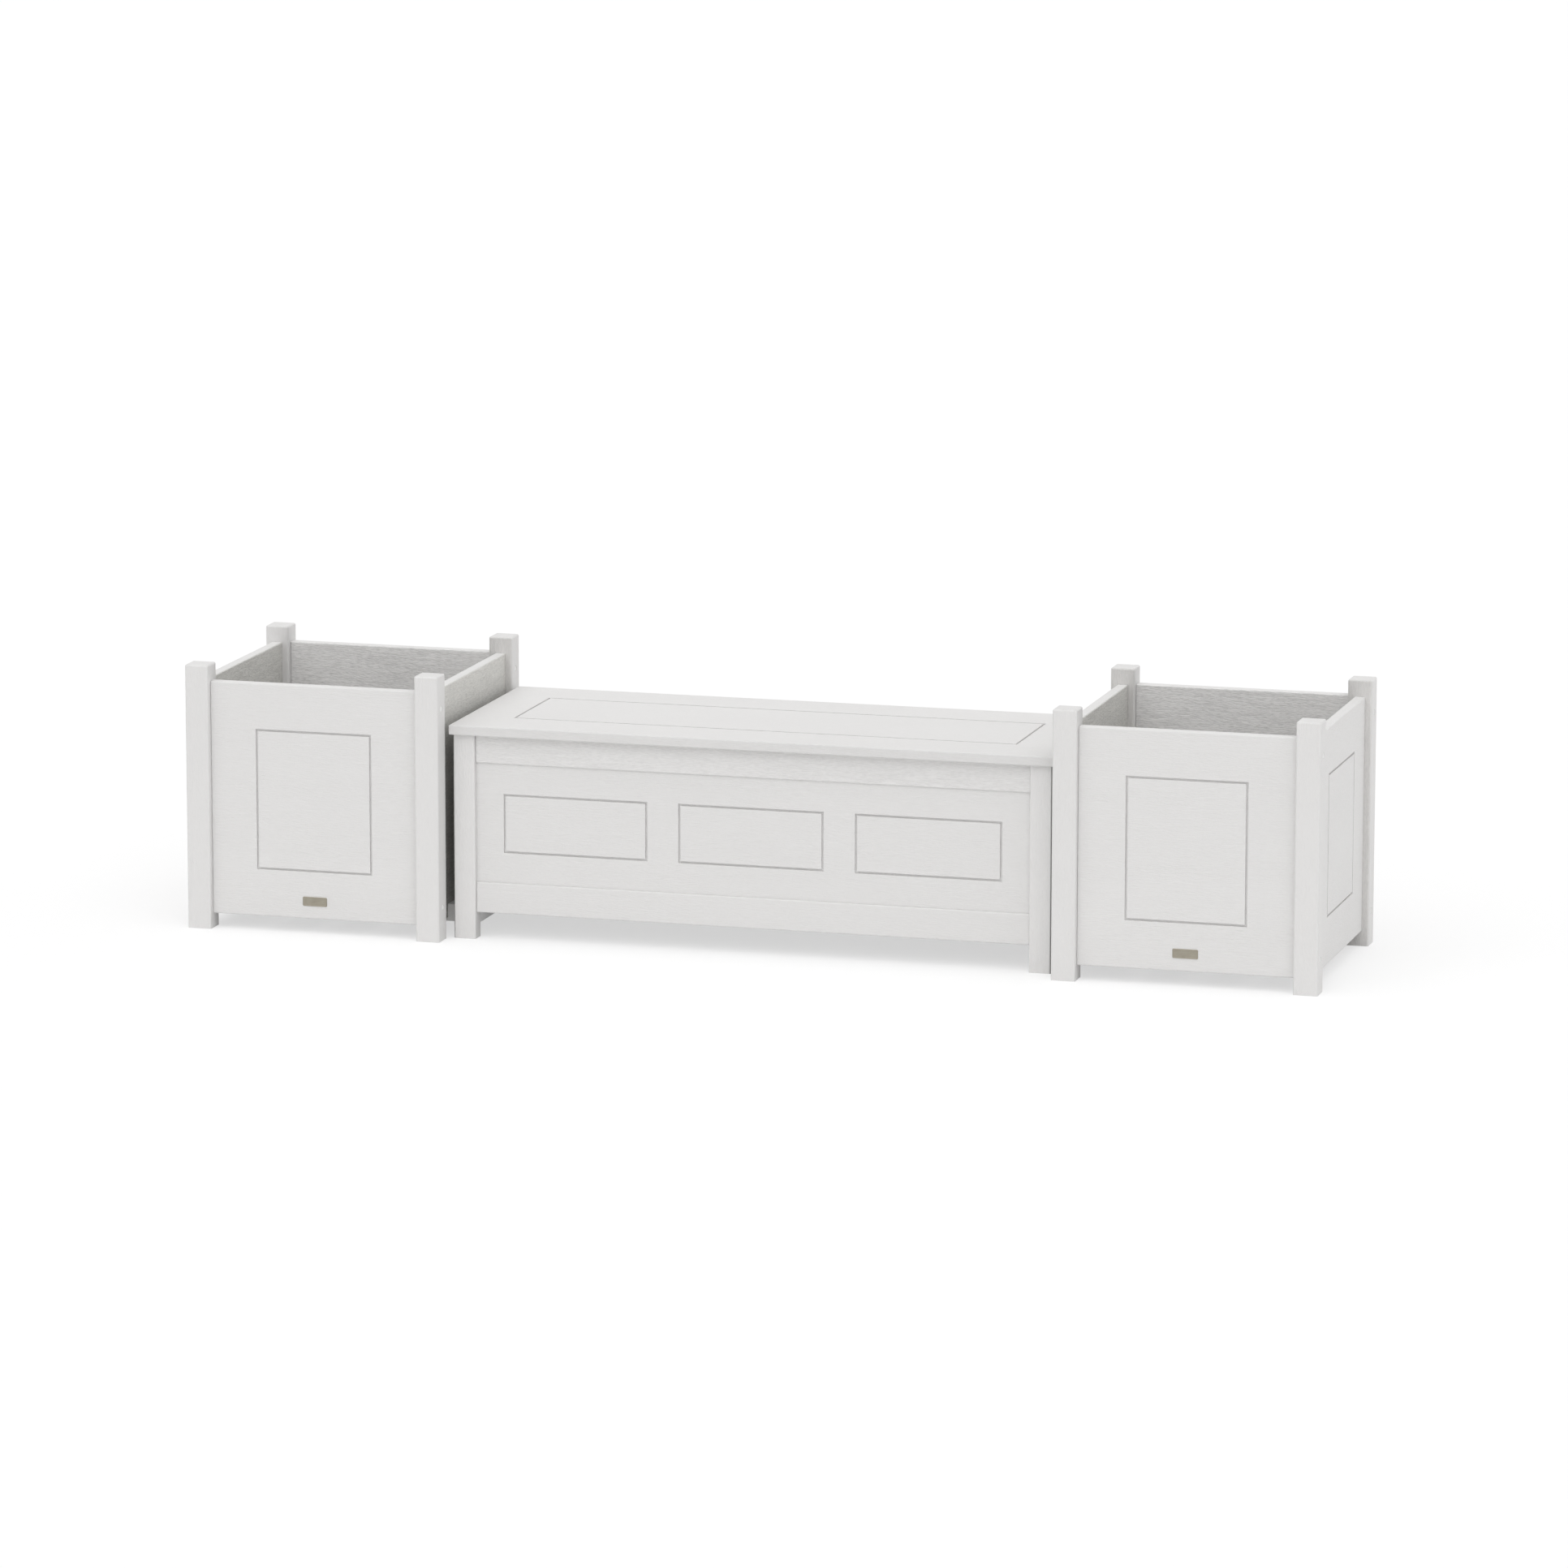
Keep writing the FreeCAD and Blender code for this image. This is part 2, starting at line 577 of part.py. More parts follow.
def infill_panel(label, x, y, length, turn, lined):
    """A thin panel held in the grooves of the rails and the housings of the legs."""
    body = new_body(label, x, y, "bottom_rail_top", turn)
    face = new_sketch(body, "face", "XZ_Plane")
    add_centred(face, "0", "-infill_housing", f"{length} + 2 * infill_housing", "infill_height + infill_housing")
    pad(body, face, "board", "infill_thickness", symmetric=True)
    if lined:
        frame = new_sketch(body, "routed_lines", "XZ_Plane", "infill_thickness / 2")
        for place in (-1, 0, 1):
            add_line_frame(frame, f"{place} * (infill_line_width + infill_line_gap)", "infill_line_inset",
                           "infill_line_width", "infill_height - infill_line_inset")
        pocket(body, frame, "routed_line_cut", "line_depth")
    parts[label] = body


def leaf_screw_places():
    """The places along X of the two screws in each leaf of each hinge."""
    return [
        f"{hinge} * hinge_spacing + {screw} * leaf_screw_spacing / 2"
        for hinge in (-1, 0, 1) for screw in (-1, 1)
    ]


def lid_board():
    """The seat: one wide board with a routed line above, and hinge mortises below."""
    body = new_body("lid_board", "0", "bench_y", "lid_underside")
    outline = new_sketch(body, "outline", "XY_Plane")
    add_centred(outline, "0", "-lid_depth / 2", "lid_length", "lid_depth / 2")
    pad(body, outline, "board", "lid_thickness")
    round_edges(body, "rounded_edges", "lid_rounding", every_edge)
    line = new_sketch(body, "routed_line", "XY_Plane", "lid_thickness")
    add_line_frame(line, "0", "-lid_depth / 2 + lid_line_inset", "lid_length - 2 * lid_line_end_inset",
                   "lid_depth / 2 - lid_line_inset")
    pocket(body, line, "routed_line_cut", "line_depth")
    leaf_mortises = new_sketch(body, "leaf_mortises", "XY_Plane")
    knuckle_mortises = new_sketch(body, "knuckle_mortises", "XY_Plane")
    for hinge in (-1, 0, 1):
        width = "hinge_length + 2 * (knuckle_gap + pin_head_height + mortise_clearance)"
        add_centred(leaf_mortises, f"{hinge} * hinge_spacing", "pivot_y - leaf_width - mortise_clearance",
                    width, "pivot_y + knuckle_recess")
        add_centred(knuckle_mortises, f"{hinge} * hinge_spacing", "pivot_y - knuckle_recess",
                    width, "pivot_y + knuckle_recess")
    pocket(body, leaf_mortises, "leaf_mortise_cut", "leaf_thickness", reverse=True)
    pocket(body, knuckle_mortises, "knuckle_mortise_cut", "leaf_thickness + mortise_clearance", reverse=True)
    leaf_pilots = new_sketch(body, "leaf_pilots", "XY_Plane")
    for x in leaf_screw_places():
        add_circle(leaf_pilots, x, "pivot_y - leaf_screw_offset", "small_bore")
    pocket(body, leaf_pilots, "leaf_pilot_cut", "leaf_screw_length", reverse=True)
    batten_pilots = new_sketch(body, "batten_pilots", "XY_Plane")
    for x, y in batten_screw_places():
        add_circle(batten_pilots, x, y, "small_bore")
    pocket(body, batten_pilots, "batten_pilot_cut", "small_screw_length - cleat_thickness", reverse=True)
    parts["lid_board"] = body


def batten_screw_places():
    return [
        (f"{batten} * batten_spacing", f"{end} * batten_screw_y")
        for batten in (-1, 0, 1) for end in (-1, 1)
    ]


def lid_battens():
    """Battens that stiffen the lid from below."""
    body = new_body("lid_battens", "0", "bench_y", "lid_underside - cleat_thickness")
    outline = new_sketch(body, "outline", "XY_Plane")
    add_centred(outline, "-batten_spacing", "-batten_length / 2", "batten_width", "batten_length / 2")
    pad(body, outline, "batten", "cleat_thickness")
    for name, diameter, depth in (("bores", "small_bore", "cleat_thickness"),
                                  ("head_bores", "small_head_bore", "small_screw_head_height")):
        holes = new_sketch(body, name, "XY_Plane")
        for end in (-1, 1):
            add_circle(holes, "-batten_spacing", f"{end} * batten_screw_y", diameter)
        pocket(body, holes, f"{name}_cut", depth, reverse=True)
    repeat_whole(body, "battens", "X_Axis", "2 * batten_spacing", "3")
    parts["lid_battens"] = body


def hinge_leaf(name, upright):
    """One leaf with its share of the knuckles. Its origin is on the hinge's axis."""
    body = new_body(name)
    if upright:
        plate = ["-knuckle_radius - hinge_gap", "-leaf_width", "leaf_thickness - knuckle_radius - hinge_gap", "0"]
    else:
        plate = ["-leaf_width", "knuckle_radius - leaf_thickness", "0", "knuckle_radius"]
    leaf = new_sketch(body, "leaf", "YZ_Plane")
    add_rectangle(leaf, *plate)
    pad(body, leaf, "leaf_plate", "hinge_length", symmetric=True)
    knuckle = new_sketch(body, "knuckle", "YZ_Plane")
    add_circle(knuckle, "0", "0", "2 * knuckle_radius")
    pad(body, knuckle, "knuckles", "hinge_length", symmetric=True)
    notches = new_sketch(body, "notches", "XZ_Plane" if upright else "XY_Plane")
    for slot in ((-1, 1) if upright else (-2, 0, 2)):
        width = "knuckle_length" if upright else "knuckle_length + 2 * knuckle_gap"
        add_centred(notches, f"{slot} * knuckle_length", "-knuckle_recess", width, "2 * knuckle_radius")
    pocket(body, notches, "notch_cut", "4 * knuckle_radius", symmetric=True)
    bore = new_sketch(body, "bore", "YZ_Plane")
    add_circle(bore, "0", "0", "pin_diameter + 2 * pin_clearance")
    pocket(body, bore, "bore_cut", "2 * hinge_length", symmetric=True)
    holes = new_sketch(body, "screw_holes", "XZ_Plane" if upright else "XY_Plane",
                       "knuckle_radius + hinge_gap - leaf_thickness" if upright
                       else "knuckle_radius - leaf_thickness")
    for screw in (-1, 1):
        add_circle(holes, f"{screw} * leaf_screw_spacing / 2", "-leaf_screw_offset", "small_head_bore")
    pocket(body, holes, "screw_hole_cut", "leaf_thickness", reverse=True,
           taper="-atan((small_head_bore - small_bore) / 2 / leaf_thickness)")
    return body


def hinge_pin():
    """A pin with a button head at each end, along X."""
    body = new_body("hinge_pin_pattern")
    half = new_sketch(body, "half_profile", "XY_Plane")
    head = "hinge_length / 2 + knuckle_gap + pin_head_height"
    neck = "hinge_length / 2 + knuckle_gap"
    add_polygon(half, [(f"-({head})", "0"), (head, "0"), (head, "pin_head_diameter / 2"),
                       (neck, "pin_head_diameter / 2"), (neck, "pin_diameter / 2"),
                       (f"-({neck})", "pin_diameter / 2"), (f"-({neck})", "pin_head_diameter / 2"),
                       (f"-({head})", "pin_head_diameter / 2")])
    turned(body, half, "H_Axis")
    return body


def turned(body, half, axis):
    feature = body.newObject("PartDesign::Revolution", "turned")
    feature.Profile = half
    feature.ReferenceAxis = (half, [axis])
    feature.Angle = 360
    doc.recompute()


def screw_pattern(name, diameter, head_diameter, head_height, length, countersunk=False):
    """A screw that points along Z, with the top of its head at the origin."""
    body = new_body(name)
    half = new_sketch(body, "half_profile", "XZ_Plane")
    outline = [("0", "0"), (f"{head_diameter} / 2", "0")]
    if not countersunk:
        outline.append((f"{head_diameter} / 2", head_height))
    outline += [(f"{diameter} / 2", head_height), (f"{diameter} / 2", length), ("0", length)]
    add_polygon(half, outline)
    turned(body, half, "V_Axis")
    return body


def place_copies(label, copies):
    """A node of several copies: each is its pattern, its place and the way it points."""
    links = []
    for pattern, place, direction in copies:
        link = doc.addObject("App::Link", f"{label}_{len(links) + 1}")
        link.LinkedObject = pattern
        link.LinkTransform = False
        turn = FreeCAD.Rotation(UP, FreeCAD.Vector(*direction))
        link.Placement = FreeCAD.Placement(FreeCAD.Vector(), turn)
        for axis, value in zip("xyz", place):
            bind(link, f"Placement.Base.{axis}", value)
        links.append(link)
    group = doc.addObject("Part::Compound", label)
    group.Label = label
    group.Links = links
    parts[label] = group


def hinges():
    """Three butt hinges: the upright leaf on the back rail, the other let into the lid."""
    for label, pattern in (("hinge_base_leaves", hinge_leaf("hinge_base_leaf_pattern", True)),
                           ("hinge_lid_leaves", hinge_leaf("hinge_lid_leaf_pattern", False)),
                           ("hinge_pins", hinge_pin())):
        copies = [
            (pattern, (f"{hinge} * hinge_spacing", "bench_y + pivot_y", "pivot_z"), (0, 0, 1))
            for hinge in (-1, 0, 1)
        ]
        place_copies(label, copies)


def all_screws():
    """Every screw, in one node for each assembly that it belongs to."""
    post_screw = screw_pattern("post_screw_pattern", "screw_diameter", "screw_head_diameter",
                               "screw_head_height", "post_size - screw_recess + screw_bite")
    leg_screw = screw_pattern("leg_screw_pattern", "screw_diameter", "screw_head_diameter",
                              "screw_head_height", "leg_width - screw_recess + screw_bite")
    tie_screw = screw_pattern("tie_screw_pattern", "screw_diameter", "screw_head_diameter",
                              "screw_head_height", "tie_screw_length - screw_recess")
    small_screw = screw_pattern("small_screw_pattern", "small_screw_diameter", "small_screw_head_diameter",
                                "small_screw_head_height", "small_screw_length")
    leaf_screw = screw_pattern("leaf_screw_pattern", "small_screw_diameter", "small_screw_head_diameter",
                               "leaf_thickness", "leaf_screw_length", countersunk=True)
    for planter in (LEFT, RIGHT):
        copies = [
            (post_screw, (f"{planter} * planter_x + {side} * (planter_width / 2 - screw_recess)",
                          f"{row} * post_y", height), (-side, 0, 0))
            for side in (LEFT, RIGHT) for row in (FRONT, BACK)
            for height in ("low_screw_height", "high_screw_height")
        ]
        copies += [
            (small_screw, (f"{planter} * planter_x + {end} * panel_cleat_screw_x",
                           f"{row} * (planter_cleat_y - cleat_thickness / 2)",
                           "floor_height - cleat_height / 2"), (0, row, 0))
            for row in (FRONT, BACK) for end in (-1, 1)
        ]
        place_copies(f"{SIDE_NAMES[planter]}_planter_screws", copies)

    copies = [
        (leg_screw, (f"{side} * (bench_length / 2 - screw_recess)", f"bench_y + {row} * leg_y", height),
         (-side, 0, 0))
        for side in (LEFT, RIGHT) for row in (FRONT, BACK)
        for height in ("low_rail_screw_height", "high_rail_screw_height")
    ]
    copies += [
        (small_screw, (f"{place} * bench_cleat_screw_x", f"bench_y + {row} * (bench_cleat_y - cleat_thickness / 2)",
                       "floor_height + cleat_height / 2"), (0, row, 0))
        for row in (FRONT, BACK) for place in (-1, 0, 1)
    ]
    place_copies("bench_screws", copies)

    copies = [
        (tie_screw, (f"{side} * {x}", f"bench_y + {y}", "floor_height - tie_thickness + screw_recess"), (0, 0, 1))
        for side in (LEFT, RIGHT) for x in ("leg_x", "tie_slat_screw_x") for y in tie_screw_places()
    ]
    place_copies("tie_screws", copies)

    copies = [
        (leaf_screw, (x, "bench_y + pivot_y - knuckle_radius - hinge_gap + leaf_thickness",
                      "pivot_z - leaf_screw_offset"), (0, -1, 0))
        for x in leaf_screw_places()
    ]
    place_copies("hinge_base_screws", copies)

    copies = [(leaf_screw, (x, "bench_y + pivot_y - leaf_screw_offset", "lid_underside"), (0, 0, 1))
              for x in leaf_screw_places()]
    copies += [(small_screw, (x, f"bench_y + {y}", "lid_underside - cleat_thickness"), (0, 0, 1))
               for x, y in batten_screw_places()]
    place_copies("lid_screws", copies)


def planter_unit(planter):
    name = f"{SIDE_NAMES[planter]}_planter"
    for row in (FRONT, BACK):
        for side in (LEFT, RIGHT):
            planter_post(planter, side, row)
    planter_panel(planter, "front", 0)
    planter_panel(planter, "back", 180)
    planter_panel(planter, "left", -90, inner=planter == RIGHT)
    planter_panel(planter, "right", 90, inner=planter == LEFT)
    floor_cleats(f"{name}_floor_cleats", f"{planter} * planter_x", "0", "floor_height", "planter_floor_length",
                 "planter_cleat_y", ["-panel_cleat_screw_x", "panel_cleat_screw_x"])
    floor_slats(f"{name}_floor_slats", f"{planter} * planter_x", "0", "floor_height",
                "planter_floor_length", "planter_floor_depth", "planter_slat_width", "planter_slat_count",
                turn=0 if planter == LEFT else 180, tie_screws="planter_x - tie_slat_screw_x")


def bench_unit():
    for row in (FRONT, BACK):
        for side in (LEFT, RIGHT):
            bench_leg(side, row)
        for level in ("top", "bottom"):
            long_rail(row, level)
        infill_panel(f"bench_{ROW_NAMES[row]}_panel", "0", f"bench_y + {row} * leg_y", "long_rail_length",
                     0 if row == FRONT else 180, lined=True)
    for side in (LEFT, RIGHT):
        for level in ("top", "bottom"):
            side_rail(side, level)
        infill_panel(f"bench_{SIDE_NAMES[side]}_panel", f"{side} * leg_x", "bench_y", "side_rail_length",
                     90 * side, lined=False)
    floor_cleats("bench_floor_cleats", "0", "bench_y", "floor_height + cleat_height", "bench_floor_length",
                 "bench_cleat_y", ["-bench_cleat_screw_x", "0", "bench_cleat_screw_x"])
    floor_slats("bench_floor_slats", "0", "bench_y", "floor_height + cleat_height",
                "bench_floor_length", "bench_floor_depth", "bench_slat_width", "bench_slat_count")


def check_and_write():
    """Stops at anything that failed, then writes each sub-part to its own file."""
    for item in doc.Objects:
        if "Invalid" in item.State or "Error" in item.State:
            raise ValueError(f"{item.Label}: {item.State}")
    for label, item in parts.items():
        if item.Shape.isNull() or not item.Shape.isValid():
            raise ValueError(f"{label} has no valid shape")
    os.makedirs("parts", exist_ok=True)
    for label, item in parts.items():
        item.Shape.exportStep(f"parts/{label}.step")


planter_unit(LEFT)
planter_unit(RIGHT)
for side in (LEFT, RIGHT):
    for row in (FRONT, BACK):
        tie_board(side, row)
bench_unit()
lid_board()
lid_battens()
hinges()
all_screws()
doc.recompute()
check_and_write()
print(len(parts), "sub-parts")
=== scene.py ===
import math

import bmesh
import bpy
from mathutils import Matrix, Vector


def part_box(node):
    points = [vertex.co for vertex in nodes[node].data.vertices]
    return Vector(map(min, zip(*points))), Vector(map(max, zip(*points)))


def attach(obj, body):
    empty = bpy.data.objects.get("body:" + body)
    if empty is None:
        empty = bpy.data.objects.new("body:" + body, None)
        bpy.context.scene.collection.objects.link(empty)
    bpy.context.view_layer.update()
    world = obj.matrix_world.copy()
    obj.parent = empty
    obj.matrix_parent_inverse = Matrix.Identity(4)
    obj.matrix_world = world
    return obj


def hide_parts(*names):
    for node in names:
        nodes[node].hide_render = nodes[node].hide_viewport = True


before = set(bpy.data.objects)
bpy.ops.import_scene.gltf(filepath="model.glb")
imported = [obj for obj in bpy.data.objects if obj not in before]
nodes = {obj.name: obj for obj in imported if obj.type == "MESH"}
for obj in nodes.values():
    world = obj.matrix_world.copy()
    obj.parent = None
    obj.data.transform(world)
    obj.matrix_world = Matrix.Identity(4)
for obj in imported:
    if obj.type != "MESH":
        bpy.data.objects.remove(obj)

# The looks of a storage bench between two planters, all of white embossed plastic timber.
# Metres, in the part's own frame: X along the row, -Y is the front, Z is up.

# Directions
LEFT = (-1.0, 0.0, 0.0)
RIGHT = (1.0, 0.0, 0.0)
FRONT = (0.0, -1.0, 0.0)
BACK = (0.0, 1.0, 0.0)

# Camera, as fitted to the straight edges of the photograph
CAMERA_PLACE = (4.3038, -15.1009, 3.3294)
CAMERA_YAW = -15.867
CAMERA_PITCH = 10.873
CAMERA_ROLL = 0.063
FOCAL_LENGTH = 180.32
SENSOR_WIDTH = 36.0
CLIP_END = 400.0

# Light: the sky's strength towards each side, and how bright a white face is under the lamp
SKY_LEVELS = ((FRONT, 0.30), (RIGHT, 0.80), (BACK, 0.68), (LEFT, 0.25))
KEY_LEVEL = 0.705
KEY_ANGLE = 90
KEY_FROM = (-0.08, -0.42, 0.9)

# Floor, and how far it darkens in full shade where it is seen, from 0 to 1
FLOOR_SIZE = 160.0
FLOOR_COLOUR = (0.955, 0.955, 0.955)
FLOOR_SHADOW = 0.42
WHITE = (1.0, 1.0, 1.0)

# Colours of plastic timber, and of metal
TIMBER_COLOUR = (0.714, 0.706, 0.699)
SAWN_COLOUR = (0.640, 0.634, 0.626)
# The tie board is paler than the other timber: painted light where it stands in shade under the bench
TIE_PAINTED_LIGHT_COLOUR = (0.96, 0.955, 0.95)
SCREW_COLOUR = (0.88, 0.88, 0.87)
STEEL_COLOUR = (0.50, 0.50, 0.51)
PLATE_COLOUR = (0.335, 0.310, 0.255)

# What single sides of a board multiply its colour by: painted shade below 1, painted light above 1
INNER_PAINTED_SHADE_TINT = (0.82, 0.82, 0.79)
LID_FRONT_PAINTED_SHADE = (0.945, 0.945, 0.945)
BACK_POST_PAINTED_SHADE = (0.915, 0.91, 0.90)
LEG_FRONT_PAINTED_LIGHT = (1.035, 1.035, 1.035)
GAP_PAINTED_SHADE = (0.25, 0.25, 0.24)
TIE_SIDE_PAINTED_SHADE = (0.95, 0.95, 0.94)

# How far the grain varies the colour either way
TONE_SPREAD = 0.012
FAINT_STREAK_SPREAD = 0.06
STREAK_SPREAD = 0.15

# Strongly streaked sides get painted shade that deepens downwards between these heights, and painted light
# above them
DEEP_SHADE_HEIGHT = 0.40
RIM_LIGHT_HEIGHT = 0.51
DEEP_SHADE_SHARE = 0.93
RIM_LIGHT_SHARE = 1.05

# Surface of plastic timber
TIMBER_ROUGHNESS = 0.48
ROUGHNESS_SPREAD = 0.16
TIMBER_SHINE = 0.38
GRAIN_HEIGHT = 0.0004
SAWN_GRAIN_HEIGHT = 0.0002

# Layers of the grain: scale on each axis, detail, roughness, and the range that becomes 0 to 1
DRIFTING_LAYERS = {
    "pits": ((85, 560, 560), 2.0, 0.6, 0.36, 0.60),
    "ridges": ((14, 190, 190), 2.0, 0.5, 0.30, 0.70),
    "waves": ((1.6, 22, 22), 2.0, 0.5, 0.30, 0.70),
}
STEADY_LAYERS = {
    "patches": ((2.5, 5, 5), 3.0, 0.55, 0.30, 0.70),
    "specks": ((900, 900, 900), 1.0, 0.5, 0.45, 0.75),
}

# Drift of the grain lines, and the step along each axis from one board's grain to the next
DRIFT_SCALE = 3.0
DRIFT_REACH = (0.0, 0.03, 0.03)
GRAIN_SHIFT = (1.7, 0.61, 0.37)

# Weights of the layers in what the grain gives, and of the pits between and on the waves
HEIGHT_WEIGHTS = {"ridges": 0.45, "specks": 0.10}
TONE_WEIGHTS = {"pits": 0.35, "waves": 0.30, "patches": 0.35}
STREAK_WEIGHTS = {"pits": 0.65, "ridges": 0.35}
SHINE_WEIGHTS = {"pits": 0.6, "patches": 0.4}
LOW_PIT_SHARE = 0.45
HIGH_PIT_SHARE = 0.85

# Turns that bring each grain direction onto X
GRAIN_TURNS = {
    "x": (0.0, 0.0, 0.0),
    "y": (0.0, 0.0, -math.pi / 2),
    "z": (0.0, math.pi / 2, 0.0),
}

# Metals: colour, roughness, scale and height of the finishing lines, colour spread, bareness
METALS = {
    "hinge_steel": (STEEL_COLOUR, 0.34, (40, 700, 700), 0.00003, 0.08, 1.0),
    "steel_screw": (STEEL_COLOUR, 0.32, (400, 400, 400), 0.00001, 0.08, 1.0),
    "coated_screw": (SCREW_COLOUR, 0.38, (400, 400, 400), 0.00001, 0.03, 0.0),
    "plate_metal": (PLATE_COLOUR, 0.42, (60, 900, 900), 0.00002, 0.08, 1.0),
}

# Finishing lines and clouds on metal: scale, detail and roughness, their weights and their range
LINE_DETAIL = 2.0
LINE_ROUGHNESS = 0.5
CLOUD_SCALE = (70, 70, 70)
CLOUD_DETAIL = 4.0
CLOUD_ROUGHNESS = 0.6
METAL_WEIGHTS = {"lines": 0.5, "cloud": 0.5}
METAL_LOW = 0.35
METAL_HIGH = 0.65
MOST_DULLING = 0.12
MOST_POLISH = 0.06

# The small plate on each planter's front panel
PLATE_WIDTH = 0.052
PLATE_HEIGHT = 0.019
PLATE_THICKNESS = 0.0012
PLATE_CORNER = 0.0025
PLATE_CORNER_STEPS = 8
PLATE_CENTRE_Z = 0.067
PLATE_EASE = 0.0004
PLATE_BORDER = 0.0014
PLATE_SINK = 0.0003
PLATE_SMOOTH_ANGLE = 30

# Screw recess, as shares of the head's radius or height, and its rings as shares of its own
RECESS_RADIUS = 0.30
RECESS_WAVE = 0.055
RECESS_LOBES = 6
RECESS_DEPTH = 0.45
RECESS_RINGS = ((0.55, 1.12), (0.92, 1.0), (1.0, 0.1), (1.08, 0.0))

# Screw heads, rims and tips, as shares of the radius of the head, rim or shank
THINNEST_HEAD = 0.5
RIM_ROUNDING = 0.09
RIM_EASE = 0.3
FLUSH_EDGE_RADIUS = 0.98
FLUSH_EDGE_HEIGHT = 0.1
FLUSH_HEAD_DEPTH = 0.5
TIP_LENGTH = 1.5
TIP_RADIUS = 0.25

# Screws: heads under the limit are flush, points past the share are widest, the shank is past its start
FLUSH_LIMIT = 0.0001
WIDEST_SHARE = 0.97
SHANK_START = 0.6
SCREW_SIDES = 48
SCREW_SMOOTH_ANGLE = 35
MERGE_DISTANCE = 1e-6

# Sockets of a Mix node that mixes colours
MIX_SHARE = 0
MIX_FIRST = 6
MIX_SECOND = 7
MIX_RESULT = 2

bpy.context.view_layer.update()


def link_nodes(tree, source, target):
    tree.links.new(source, target)


def add_node(tree, kind, **values):
    """A shader node with some of its properties and inputs set."""
    node = tree.nodes.new(kind)
    for name, value in values.items():
        if name in node.inputs:
            node.inputs[name].default_value = value
        else:
            setattr(node, name, value)
    return node


def vector_math(tree, operation, first, second):
    """A vector calculation whose second value is a socket or three numbers."""
    node = add_node(tree, "ShaderNodeVectorMath", operation=operation)
    link_nodes(tree, first, node.inputs[0])
    if isinstance(second, tuple):
        node.inputs[1].default_value = second
    else:
        link_nodes(tree, second, node.inputs[1])
    return node.outputs


def calculate(tree, operation, first, second):
    """A calculation on two values, each a socket or a number."""
    node = add_node(tree, "ShaderNodeMath", operation=operation)
    for socket, value in zip(node.inputs, (first, second)):
        if isinstance(value, float):
            socket.default_value = value
        else:
            link_nodes(tree, value, socket)
    return node.outputs["Value"]


def weighted_sum(tree, layers, weights, total=None):
    """The sum of some layers, each by its weight, on top of a first total where one is given."""
    for name, weight in weights.items():
        part = calculate(tree, "MULTIPLY", layers[name], weight)
        total = part if total is None else calculate(tree, "ADD", total, part)
    return total


def remap(tree, value, low, high, to_low=0.0, to_high=1.0):
    """A value whose range from low to high becomes another range."""
    node = add_node(tree, "ShaderNodeMapRange")
    node.inputs["From Min"].default_value = low
    node.inputs["From Max"].default_value = high
    node.inputs["To Min"].default_value = to_low
    node.inputs["To Max"].default_value = to_high
    link_nodes(tree, value, node.inputs["Value"])
    return node.outputs["Result"]


def facing(tree, direction, side):
    """How far a direction points to one side, from 0 to 1."""
    return calculate(tree, "MAXIMUM", vector_math(tree, "DOT_PRODUCT", direction, side)["Value"], 0.0)


def scaled_noise(tree, vector, scale, detail, roughness):
    """Noise on coordinates that are stretched by their own scale on each axis."""
    stretch = add_node(tree, "ShaderNodeMapping")
    stretch.inputs["Scale"].default_value = scale
    link_nodes(tree, vector, stretch.inputs["Vector"])
    noise = add_node(tree, "ShaderNodeTexNoise", Scale=1.0, Detail=detail, Roughness=roughness)
    link_nodes(tree, stretch.outputs["Vector"], noise.inputs["Vector"])
    return noise.outputs["Fac"]


def noise_layer(tree, place, scale, detail, roughness, low, high):
    return remap(tree, scaled_noise(tree, place, scale, detail, roughness), low, high)


def drifted(tree, place):
    """Coordinates with a slow sideways drift, so that no grain line is straight."""
    drift = add_node(tree, "ShaderNodeTexNoise", Scale=DRIFT_SCALE, Detail=1.0)
    link_nodes(tree, place, drift.inputs["Vector"])
    centred = vector_math(tree, "SUBTRACT", drift.outputs["Color"], (0.5, 0.5, 0.5))["Vector"]
    sideways = vector_math(tree, "MULTIPLY", centred, DRIFT_REACH)["Vector"]
    return vector_math(tree, "ADD", place, sideways)["Vector"]


def grain_group():
    """The embossed grain, running along X: short pits, longer ridges and slow waves between them."""
    tree = bpy.data.node_groups.new("embossed_grain", "ShaderNodeTree")
    tree.interface.new_socket("Vector", in_out="INPUT", socket_type="NodeSocketVector")
    for name in ("Height", "Tone", "Shine", "Streaks"):
        tree.interface.new_socket(name, in_out="OUTPUT", socket_type="NodeSocketFloat")
    entry = tree.nodes.new("NodeGroupInput")
    leave = tree.nodes.new("NodeGroupOutput")
    place = entry.outputs["Vector"]
    grain_place = drifted(tree, place)
    layers = {name: noise_layer(tree, grain_place, *layer) for name, layer in DRIFTING_LAYERS.items()}
    for name, layer in STEADY_LAYERS.items():
        layers[name] = noise_layer(tree, place, *layer)
    pit_share = remap(tree, layers["waves"], 0.0, 1.0, LOW_PIT_SHARE, HIGH_PIT_SHARE)
    pit_height = calculate(tree, "MULTIPLY", layers["pits"], pit_share)
    link_nodes(tree, weighted_sum(tree, layers, HEIGHT_WEIGHTS, pit_height), leave.inputs["Height"])
    link_nodes(tree, weighted_sum(tree, layers, TONE_WEIGHTS), leave.inputs["Tone"])
    link_nodes(tree, weighted_sum(tree, layers, STREAK_WEIGHTS), leave.inputs["Streaks"])
    link_nodes(tree, weighted_sum(tree, layers, SHINE_WEIGHTS), leave.inputs["Shine"])
    return tree


def new_material(name):
    """A material, its node tree and its main shader."""
    material = bpy.data.materials.new(name)
    material.use_nodes = True
    return material, material.node_tree, material.node_tree.nodes["Principled BSDF"]


